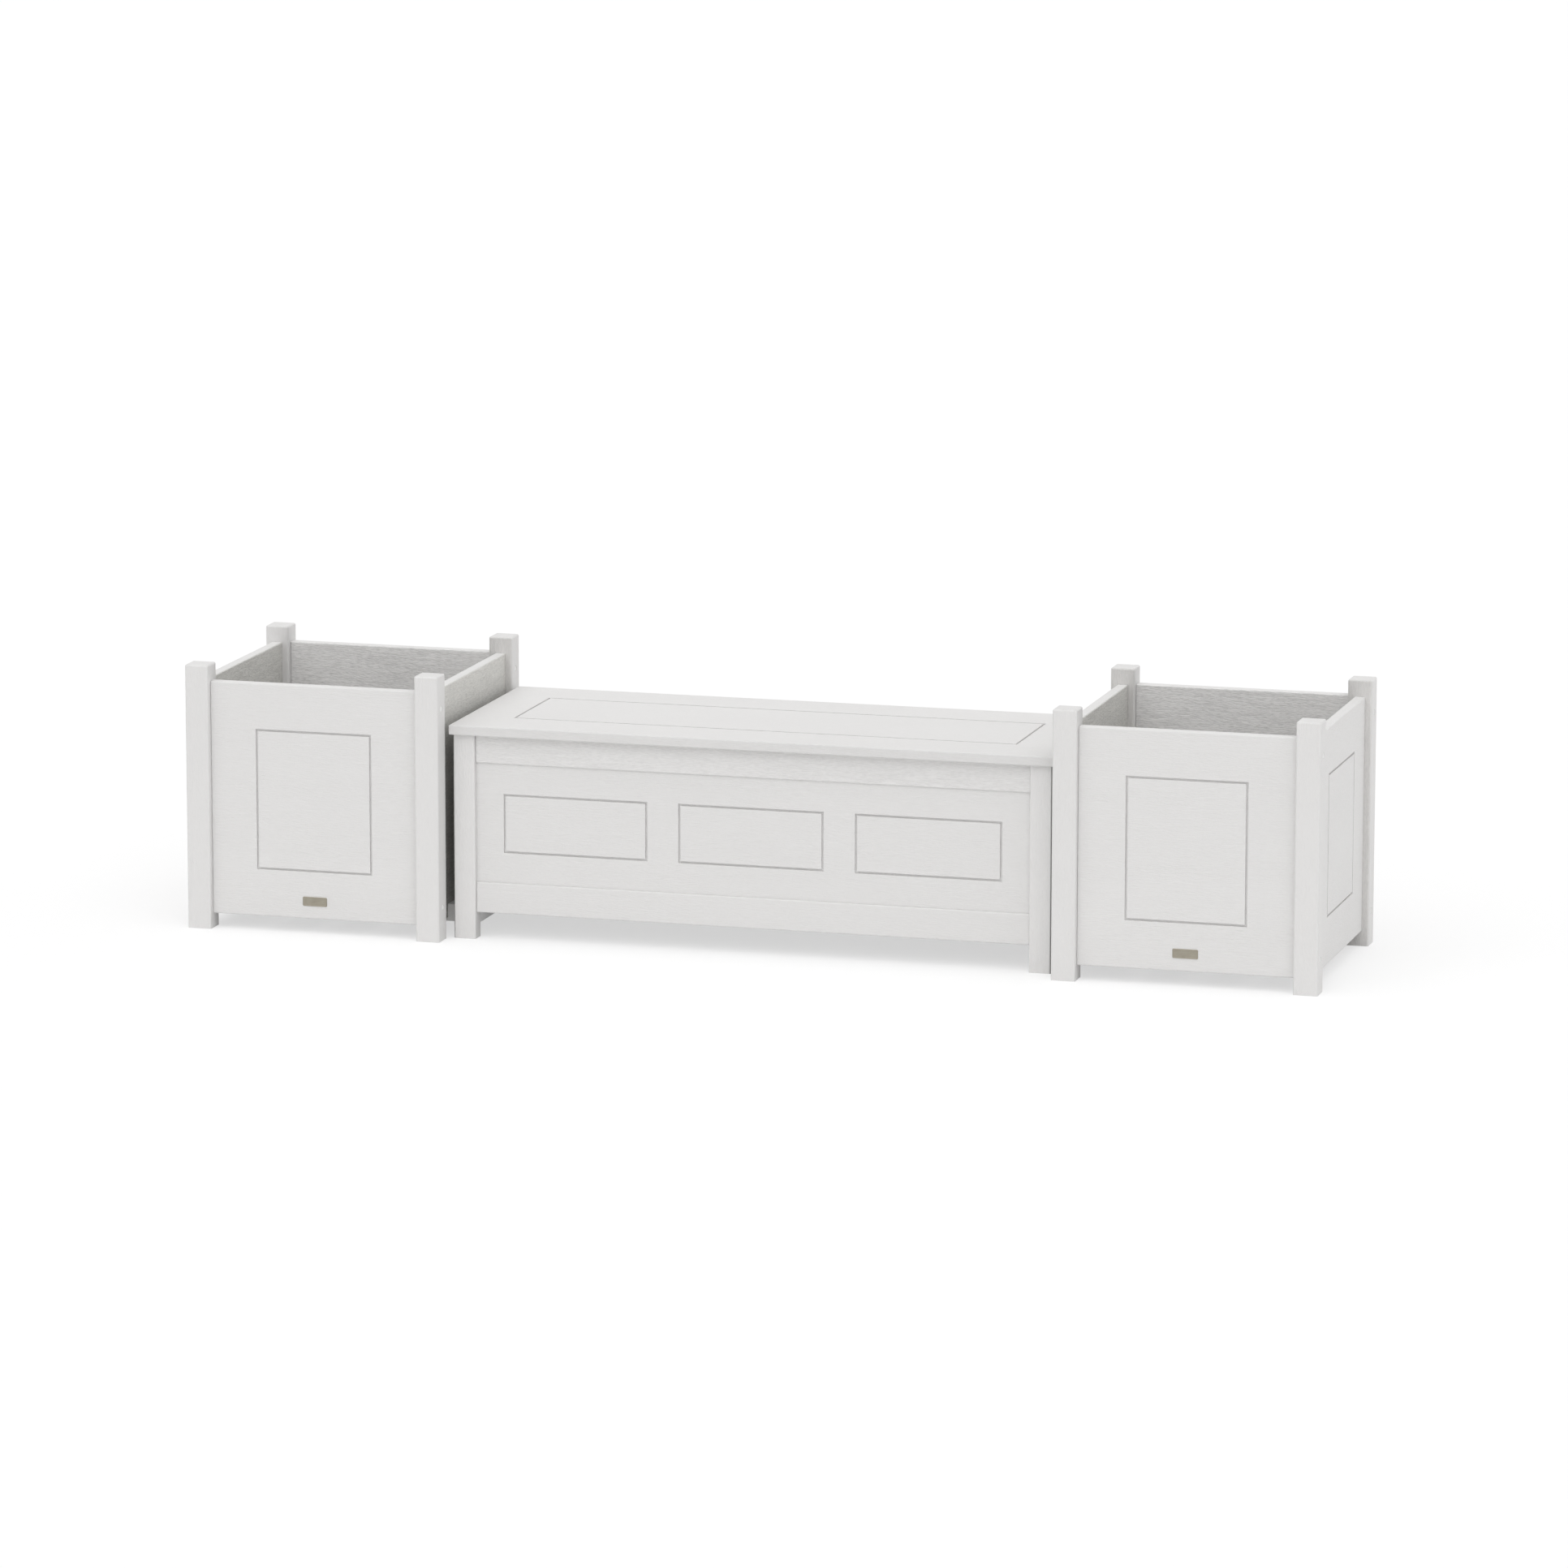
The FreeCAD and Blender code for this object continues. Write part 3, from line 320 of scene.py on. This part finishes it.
def mix_tones(tree, share, colour, spread):
    """A colour that varies by a spread either way as share goes from 0 to 1."""
    mixed = add_node(tree, "ShaderNodeMix", data_type="RGBA")
    mixed.inputs[MIX_FIRST].default_value = (*[c * (1 - spread) for c in colour], 1)
    mixed.inputs[MIX_SECOND].default_value = (*[c * (1 + spread) for c in colour], 1)
    link_nodes(tree, share, mixed.inputs[MIX_SHARE])
    return mixed.outputs[MIX_RESULT]


def add_bump(tree, shader, height, distance):
    bump = add_node(tree, "ShaderNodeBump", Strength=1.0, Distance=distance)
    link_nodes(tree, height, bump.inputs["Height"])
    link_nodes(tree, bump.outputs["Normal"], shader.inputs["Normal"])


def painted_depth_shade(tree, colour, place):
    """A colour with painted shade that darkens it from a planter's rim downwards, and painted light at the
    rim.
    """
    parts = tree.nodes.new("ShaderNodeSeparateXYZ")
    link_nodes(tree, place, parts.inputs[0])
    share = remap(tree, parts.outputs["Z"], DEEP_SHADE_HEIGHT, RIM_LIGHT_HEIGHT, DEEP_SHADE_SHARE, RIM_LIGHT_SHARE)
    product = add_node(tree, "ShaderNodeMix", data_type="RGBA", blend_type="MULTIPLY")
    product.inputs[MIX_SHARE].default_value = 1.0
    link_nodes(tree, colour, product.inputs[MIX_FIRST])
    link_nodes(tree, share, product.inputs[MIX_SECOND])
    return product.outputs[MIX_RESULT]


def tint_side(tree, tone, coordinates, grain, colour, side, tint, spread):
    """A board's tone with another tint, which is painted shade or painted light unless white, and streaks
    on one of its sides.
    """
    tinted = [share * value for share, value in zip(tint, colour)]
    side_tone = mix_tones(tree, grain.outputs["Streaks"], tinted, spread)
    # Strongly streaked sides also get painted shade that deepens downwards, and painted light at the rim
    if spread == STREAK_SPREAD:
        side_tone = painted_depth_shade(tree, side_tone, coordinates.outputs["Object"])
    mixed = add_node(tree, "ShaderNodeMix", data_type="RGBA")
    link_nodes(tree, facing(tree, coordinates.outputs["Normal"], side), mixed.inputs[MIX_SHARE])
    link_nodes(tree, tone, mixed.inputs[MIX_FIRST])
    link_nodes(tree, side_tone, mixed.inputs[MIX_SECOND])
    return mixed.outputs[MIX_RESULT]


def timber_material(name, group, along, number, colour, grain_height, sides):
    """White plastic timber with its grain along one axis, and painted shade, painted light or streaks on
    some of its sides.
    """
    material, tree, shader = new_material(name)
    coordinates = tree.nodes.new("ShaderNodeTexCoord")
    turn = add_node(tree, "ShaderNodeMapping")
    turn.inputs["Location"].default_value = [step * number for step in GRAIN_SHIFT]
    turn.inputs["Rotation"].default_value = GRAIN_TURNS[along]
    link_nodes(tree, coordinates.outputs["Object"], turn.inputs["Vector"])
    grain = tree.nodes.new("ShaderNodeGroup")
    grain.node_tree = group
    link_nodes(tree, turn.outputs["Vector"], grain.inputs["Vector"])
    tone = mix_tones(tree, grain.outputs["Tone"], colour, TONE_SPREAD)
    for side, tint, spread in sides:
        tone = tint_side(tree, tone, coordinates, grain, colour, side, tint, spread)
    link_nodes(tree, tone, shader.inputs["Base Color"])
    roughness = remap(tree, grain.outputs["Shine"], 0.0, 1.0, TIMBER_ROUGHNESS + ROUGHNESS_SPREAD,
                      TIMBER_ROUGHNESS)
    link_nodes(tree, roughness, shader.inputs["Roughness"])
    shader.inputs["Specular IOR Level"].default_value = TIMBER_SHINE
    add_bump(tree, shader, grain.outputs["Height"], grain_height)
    return material


def metal_material(name):
    """Metal, bare or coated, with fine lines from its finishing and uneven dulling."""
    colour, roughness, scale, height, spread, bare = METALS[name]
    material, tree, shader = new_material(name)
    place = tree.nodes.new("ShaderNodeTexCoord").outputs["Object"]
    lines = scaled_noise(tree, place, scale, LINE_DETAIL, LINE_ROUGHNESS)
    cloud = scaled_noise(tree, place, CLOUD_SCALE, CLOUD_DETAIL, CLOUD_ROUGHNESS)
    share = weighted_sum(tree, {"lines": lines, "cloud": cloud}, METAL_WEIGHTS)
    share = remap(tree, share, METAL_LOW, METAL_HIGH)
    link_nodes(tree, mix_tones(tree, share, colour, spread), shader.inputs["Base Color"])
    dulling = remap(tree, share, 0.0, 1.0, roughness + MOST_DULLING, roughness - MOST_POLISH)
    link_nodes(tree, dulling, shader.inputs["Roughness"])
    shader.inputs["Metallic"].default_value = bare
    add_bump(tree, shader, lines, height)
    return material


def grain_direction(node):
    """Posts and legs are cut upright. Side boards and slats run front to back, the rest along the row."""
    if node.endswith(("_post", "_leg")):
        return "z"
    side_board = "_left_" in node or "_right_" in node or node.startswith(("bench_left", "bench_right"))
    if side_board and node.endswith(("_panel", "_rail")):
        return "y"
    if node.endswith(("slats", "battens")):
        return "y"
    return "x"


def timber_finish(node):
    """The colour and grain height of a board."""
    # The tie board's paler colour is painted light
    if node.endswith("tie_board"):
        return TIE_PAINTED_LIGHT_COLOUR, SAWN_GRAIN_HEIGHT
    if node.endswith(("slats", "cleats", "battens")):
        return SAWN_COLOUR, SAWN_GRAIN_HEIGHT
    return TIMBER_COLOUR, GRAIN_HEIGHT


def tinted_sides(node):
    """The sides of a board with painted shade, painted light or more streaks, each with its tint and
    streak spread.
    """
    # Painted shade, with streaks, on the sides inside the planters and on those that face the bench
    painted_shade_left = (LEFT, INNER_PAINTED_SHADE_TINT, STREAK_SPREAD)
    painted_shade_right = (RIGHT, INNER_PAINTED_SHADE_TINT, STREAK_SPREAD)
    # Streaks on the inner sides of front and back panels, which also get painted shade deepening downwards
    streaked_shaded_front = (FRONT, WHITE, STREAK_SPREAD)
    streaked_shaded_back = (BACK, WHITE, STREAK_SPREAD)
    # Legs get painted light on the front and dark painted shade on the side that faces the gap to a
    # planter
    if node.endswith("_leg"):
        gap_side = LEFT if "_left_" in node else RIGHT
        return (FRONT, LEG_FRONT_PAINTED_LIGHT, TONE_SPREAD), (gap_side, GAP_PAINTED_SHADE, TONE_SPREAD)
    if node.endswith("tie_board"):
        # The tie board's front and back get painted shade
        return (FRONT, TIE_SIDE_PAINTED_SHADE, TONE_SPREAD), (BACK, TIE_SIDE_PAINTED_SHADE, TONE_SPREAD)
    # Back posts but one get painted shade, with faint streaks, on the front, in the corner beside the side
    # panel
    if "planter_back" in node and node.endswith("_post") and node != "left_planter_back_left_post":
        return ((FRONT, BACK_POST_PAINTED_SHADE, FAINT_STREAK_SPREAD),)
    return {
        "left_planter_left_panel": (painted_shade_right,),
        "left_planter_right_panel": (painted_shade_left, painted_shade_right),
        "left_planter_front_panel": (streaked_shaded_back,),
        "left_planter_back_panel": (streaked_shaded_front,),
        "right_planter_left_panel": (painted_shade_left, painted_shade_right),
        "right_planter_right_panel": (painted_shade_left,),
        "right_planter_front_panel": (streaked_shaded_back,),
        "right_planter_back_panel": (streaked_shaded_front,),
        "bench_front_top_rail": ((FRONT, WHITE, FAINT_STREAK_SPREAD),),
        # Painted shade on the lid's front edge
        "lid_board": ((FRONT, LID_FRONT_PAINTED_SHADE, TONE_SPREAD),),
    }.get(node, ())


def set_material(item, material):
    item.data.materials.clear()
    item.data.materials.append(material)


def finish_cad_nodes(group):
    """Each board gets timber of its own, and the hinges get steel."""
    hinge_steel = metal_material("hinge_steel")
    for number, name in enumerate(sorted(nodes)):
        if "hinge" in name:
            set_material(nodes[name], hinge_steel)
            continue
        colour, grain_height = timber_finish(name)
        material = timber_material(f"timber_{name}", group, grain_direction(name), number, colour,
                                   grain_height, tinted_sides(name))
        set_material(nodes[name], material)


def loose_parts(item):
    """The points of each separate solid in a node."""
    mesh = bmesh.new()
    mesh.from_mesh(item.data)
    bmesh.ops.remove_doubles(mesh, verts=mesh.verts, dist=MERGE_DISTANCE)
    waiting = set(mesh.verts)
    groups = []
    while waiting:
        reached = [waiting.pop()]
        found = list(reached)
        while reached:
            vertex = reached.pop()
            for edge in vertex.link_edges:
                other = edge.other_vert(vertex)
                if other in waiting:
                    waiting.remove(other)
                    reached.append(other)
                    found.append(other)
        groups.append([vertex.co.copy() for vertex in found])
    mesh.free()
    return groups


def screw_frame(points):
    """The head's centre, the direction to the tip, and the profile of one turned screw."""
    low = Vector([min(point[axis] for point in points) for axis in range(3)])
    high = Vector([max(point[axis] for point in points) for axis in range(3)])
    size = high - low
    axis = max(range(3), key=lambda index: size[index])
    centre = (low + high) / 2
    direction = Vector((0, 0, 0))
    direction[axis] = 1
    length = size[axis]
    head_radius = max(size[index] for index in range(3) if index != axis) / 2

    def radius(point):
        across = point - centre
        across[axis] = 0
        return across.length

    widest = [point for point in points if radius(point) > WIDEST_SHARE * head_radius]
    if sum(point[axis] for point in widest) / len(widest) > centre[axis]:
        direction = -direction
    head = centre - direction * length / 2
    head_height = max((point - head).dot(direction) for point in widest)
    shank = [point for point in points if (point - head).dot(direction) > SHANK_START * length]
    shank_radius = max(radius(point) for point in shank)
    return head, direction, length, head_radius, head_height, shank_radius


def star(angle, radius):
    return radius * (RECESS_RADIUS + RECESS_WAVE * math.cos(RECESS_LOBES * angle)) / RECESS_RADIUS


def circle(angle, radius):
    return radius


def screw_profile(length, head_radius, head_height, shank_radius):
    """The rings of a screw from its recess to its tip: shape, radius and place along it."""
    recess = RECESS_RADIUS * head_radius
    rim = RIM_ROUNDING * head_radius
    depth = RECESS_DEPTH * max(head_height, THINNEST_HEAD * head_radius)
    profile = [(star, across * recess, deep * depth) for across, deep in RECESS_RINGS]
    profile.append((circle, head_radius - rim, 0.0))
    profile.append((circle, head_radius - RIM_EASE * rim, RIM_EASE * rim))
    if head_height < FLUSH_LIMIT:
        profile.append((circle, FLUSH_EDGE_RADIUS * head_radius, FLUSH_EDGE_HEIGHT * rim))
        profile.append((circle, shank_radius, FLUSH_HEAD_DEPTH * head_radius))
    else:
        profile.append((circle, head_radius, rim))
        profile.append((circle, head_radius, head_height))
        profile.append((circle, shank_radius, head_height))
    profile.append((circle, shank_radius, length - TIP_LENGTH * shank_radius))
    profile.append((circle, TIP_RADIUS * shank_radius, length))
    return profile


def add_skin(mesh, rings):
    """Faces from each ring of points to the next, and a cap on the first and on the last."""
    for ring, following in zip(rings, rings[1:]):
        for step in range(len(ring)):
            after = (step + 1) % len(ring)
            mesh.faces.new((ring[step], ring[after], following[after], following[step]))
    mesh.faces.new(rings[0])
    mesh.faces.new(list(reversed(rings[-1])))


def add_screw(mesh, points):
    """A screw in the place of a plain one, with an eased rim and a star recess in its head."""
    head, direction, *measures = screw_frame(points)
    turn = direction.to_track_quat("Z", "Y")
    rings = []
    for shape, radius, along in screw_profile(*measures):
        ring = []
        for step in range(SCREW_SIDES):
            angle = 2 * math.pi * step / SCREW_SIDES
            reach = shape(angle, radius)
            point = Vector((reach * math.cos(angle), reach * math.sin(angle), along))
            ring.append(mesh.verts.new(head + turn @ point))
        rings.append(ring)
    add_skin(mesh, rings)


def finish_mesh(name, mesh, material, body, smooth_angle):
    """An object of a finished mesh that rides a body."""
    bmesh.ops.recalc_face_normals(mesh, faces=mesh.faces)
    data = bpy.data.meshes.new(name)
    mesh.to_mesh(data)
    mesh.free()
    item = bpy.data.objects.new(name, data)
    bpy.context.scene.collection.objects.link(item)
    data.materials.append(material)
    for face in data.polygons:
        face.use_smooth = True
    data.set_sharp_from_angle(angle=math.radians(smooth_angle))
    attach(item, body)
    return item


def detailed_screws():
    """Every screw again, with the recess that its driver fits."""
    coated = metal_material("coated_screw")
    steel = metal_material("steel_screw")
    for name in sorted(nodes):
        if not name.endswith("screws"):
            continue
        mesh = bmesh.new()
        for points in loose_parts(nodes[name]):
            add_screw(mesh, points)
        body = "lid" if name == "lid_screws" else "base"
        material = steel if name in ("lid_screws", "hinge_base_screws") else coated
        item = finish_mesh(f"{name}_with_recess", mesh, material, body,
                           SCREW_SMOOTH_ANGLE)
        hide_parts(name)


def rounded_outline(width, height, corner, inset):
    """Points round a rectangle with rounded corners, set in on all sides, from its middle."""
    points = []
    radius = corner - inset
    for turn in range(4):
        right = 1 if turn in (0, 3) else -1
        up = 1 if turn in (0, 1) else -1
        x = right * (width / 2 - corner)
        z = up * (height / 2 - corner)
        for step in range(PLATE_CORNER_STEPS + 1):
            angle = (turn + step / PLATE_CORNER_STEPS) * math.pi / 2
            points.append((x + radius * math.cos(angle), z + radius * math.sin(angle)))
    return points


def bare_plate(name, x, face_y, material):
    """A small unmarked plate with an eased edge and a shallow sunk field."""
    mesh = bmesh.new()
    layers = (
        (0.0, 0.0),
        (0.0, PLATE_THICKNESS - PLATE_EASE),
        (PLATE_EASE, PLATE_THICKNESS),
        (PLATE_BORDER, PLATE_THICKNESS),
        (PLATE_BORDER + PLATE_SINK, PLATE_THICKNESS - PLATE_SINK),
    )
    rings = []
    for inset, proud in layers:
        outline = rounded_outline(PLATE_WIDTH, PLATE_HEIGHT, PLATE_CORNER, inset)
        rings.append([mesh.verts.new((x + px, face_y - proud, PLATE_CENTRE_Z + pz)) for px, pz in outline])
    add_skin(mesh, rings)
    finish_mesh(name, mesh, material, "base", PLATE_SMOOTH_ANGLE)


def plates():
    """A bare plate low on the front of each planter."""
    bronze = metal_material("plate_metal")
    for side in ("left", "right"):
        low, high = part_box(f"{side}_planter_front_panel")
        bare_plate(f"{side}_planter_plate", (low.x + high.x) / 2, low.y, bronze)


def seen_rays(tree):
    """1 for camera, glossy and transmission rays, else 0."""
    path = tree.nodes.new("ShaderNodeLightPath")
    seen = calculate(tree, "MAXIMUM", path.outputs["Is Camera Ray"], path.outputs["Is Glossy Ray"])
    return calculate(tree, "MAXIMUM", seen, path.outputs["Is Transmission Ray"])


def mix_shaders(tree, share, first, second, output):
    """Two shaders mixed by a share and led to the output."""
    mixed = tree.nodes.new("ShaderNodeMixShader")
    link_nodes(tree, share, mixed.inputs["Fac"])
    link_nodes(tree, first, mixed.inputs[1])
    link_nodes(tree, second, mixed.inputs[2])
    link_nodes(tree, mixed.outputs["Shader"], output.inputs["Surface"])


def floor_material():
    """Pale. Where it is seen, also in gloss, it is white with a light shadow."""
    material = bpy.data.materials.new("pale_floor")
    material.use_nodes = True
    tree = material.node_tree
    tree.nodes.clear()
    bright = add_node(tree, "ShaderNodeEmission", Color=(*WHITE, 1), Strength=1.0)
    shaded = add_node(tree, "ShaderNodeBsdfDiffuse", Color=(*FLOOR_COLOUR, 1))
    unseen = calculate(tree, "SUBTRACT", 1.0, seen_rays(tree))
    share = calculate(tree, "MAXIMUM", unseen, FLOOR_SHADOW)
    output = tree.nodes.new("ShaderNodeOutputMaterial")
    mix_shaders(tree, share, bright.outputs["Emission"], shaded.outputs["BSDF"], output)
    return material


def floor():
    mesh = bmesh.new()
    half = FLOOR_SIZE / 2
    corners = ((-half, -half), (half, -half), (half, half), (-half, half))
    mesh.faces.new([mesh.verts.new((x, y, 0)) for x, y in corners])
    data = bpy.data.meshes.new("floor")
    mesh.to_mesh(data)
    mesh.free()
    item = bpy.data.objects.new("floor", data)
    bpy.context.scene.collection.objects.link(item)
    data.materials.append(floor_material())


def sky():
    """Soft light that differs from side to side, seen as white."""
    world = bpy.data.worlds.new("sky")
    world.use_nodes = True
    tree = world.node_tree
    tree.nodes.clear()
    direction = tree.nodes.new("ShaderNodeTexCoord").outputs["Generated"]
    strength = 0.0
    for side, level in SKY_LEVELS:
        share = calculate(tree, "MULTIPLY", facing(tree, direction, side), level)
        strength = calculate(tree, "ADD", share, strength)
    light = add_node(tree, "ShaderNodeBackground", Color=(*WHITE, 1))
    link_nodes(tree, strength, light.inputs["Strength"])
    backdrop = add_node(tree, "ShaderNodeBackground", Strength=1.0, Color=(*WHITE, 1))
    output = tree.nodes.new("ShaderNodeOutputWorld")
    mix_shaders(tree, seen_rays(tree), light.outputs["Background"], backdrop.outputs["Background"], output)
    bpy.context.scene.world = world


def key_light():
    """A broad soft lamp from above, slightly from the front and left."""
    data = bpy.data.lights.new("key", "SUN")
    data.energy = KEY_LEVEL * math.pi
    data.angle = math.radians(KEY_ANGLE)
    item = bpy.data.objects.new("key", data)
    item.rotation_euler = Vector(KEY_FROM).to_track_quat("Z", "Y").to_euler()
    bpy.context.scene.collection.objects.link(item)


def camera():
    """The photograph's point of view. Yaw is positive to the right and pitch downwards."""
    yaw = math.radians(CAMERA_YAW)
    pitch = math.radians(CAMERA_PITCH)
    roll = math.radians(CAMERA_ROLL)
    forward = Vector((math.sin(yaw) * math.cos(pitch), math.cos(yaw) * math.cos(pitch), -math.sin(pitch)))
    level = Vector((math.cos(yaw), -math.sin(yaw), 0))
    above = level.cross(forward)
    right = level * math.cos(roll) + above * math.sin(roll)
    up = right.cross(forward)
    data = bpy.data.cameras.new("camera")
    data.lens = FOCAL_LENGTH
    data.sensor_width = SENSOR_WIDTH
    data.clip_end = CLIP_END
    item = bpy.data.objects.new("camera", data)
    axes = Matrix((right, up, -forward)).transposed()
    item.matrix_world = Matrix.Translation(CAMERA_PLACE) @ axes.to_4x4()
    bpy.context.scene.collection.objects.link(item)
    bpy.context.scene.camera = item


camera()
finish_cad_nodes(grain_group())
detailed_screws()
plates()
floor()
sky()
key_light()
bpy.context.scene.view_settings.view_transform = "Standard"
